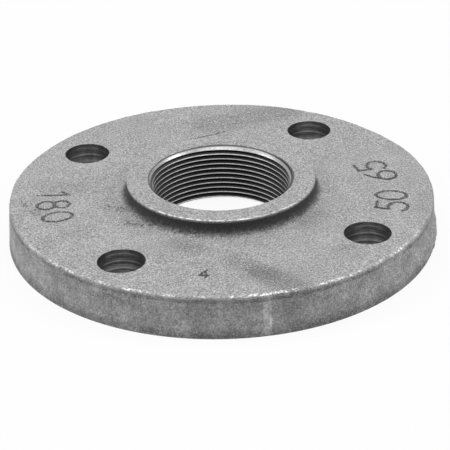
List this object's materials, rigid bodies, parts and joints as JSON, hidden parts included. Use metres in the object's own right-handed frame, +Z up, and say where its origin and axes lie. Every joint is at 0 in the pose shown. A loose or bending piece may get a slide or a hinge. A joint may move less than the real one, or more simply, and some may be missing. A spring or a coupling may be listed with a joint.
{
  "type": "reducing companion flange",
  "caption": "Round cast-iron companion flange with a raised threaded hub and bolt holes, for screwing onto a pipe and bolting it to a larger flange.",
  "frame": {"origin": "centre of the bore on the mating face", "axes": "+Z up the bore from the mating face to the hub; +X and +Y each midway between two bolt holes"},
  "size_m": [0.1778, 0.1778, 0.0246],
  "materials": {
    "cast_iron": "bare grey iron, sand-cast outside, faced on the mating side, cut in the bore and the bolt holes"
  },
  "bodies": {
    "root": {"flange": "cast_iron"}
  },
  "joints": []
}
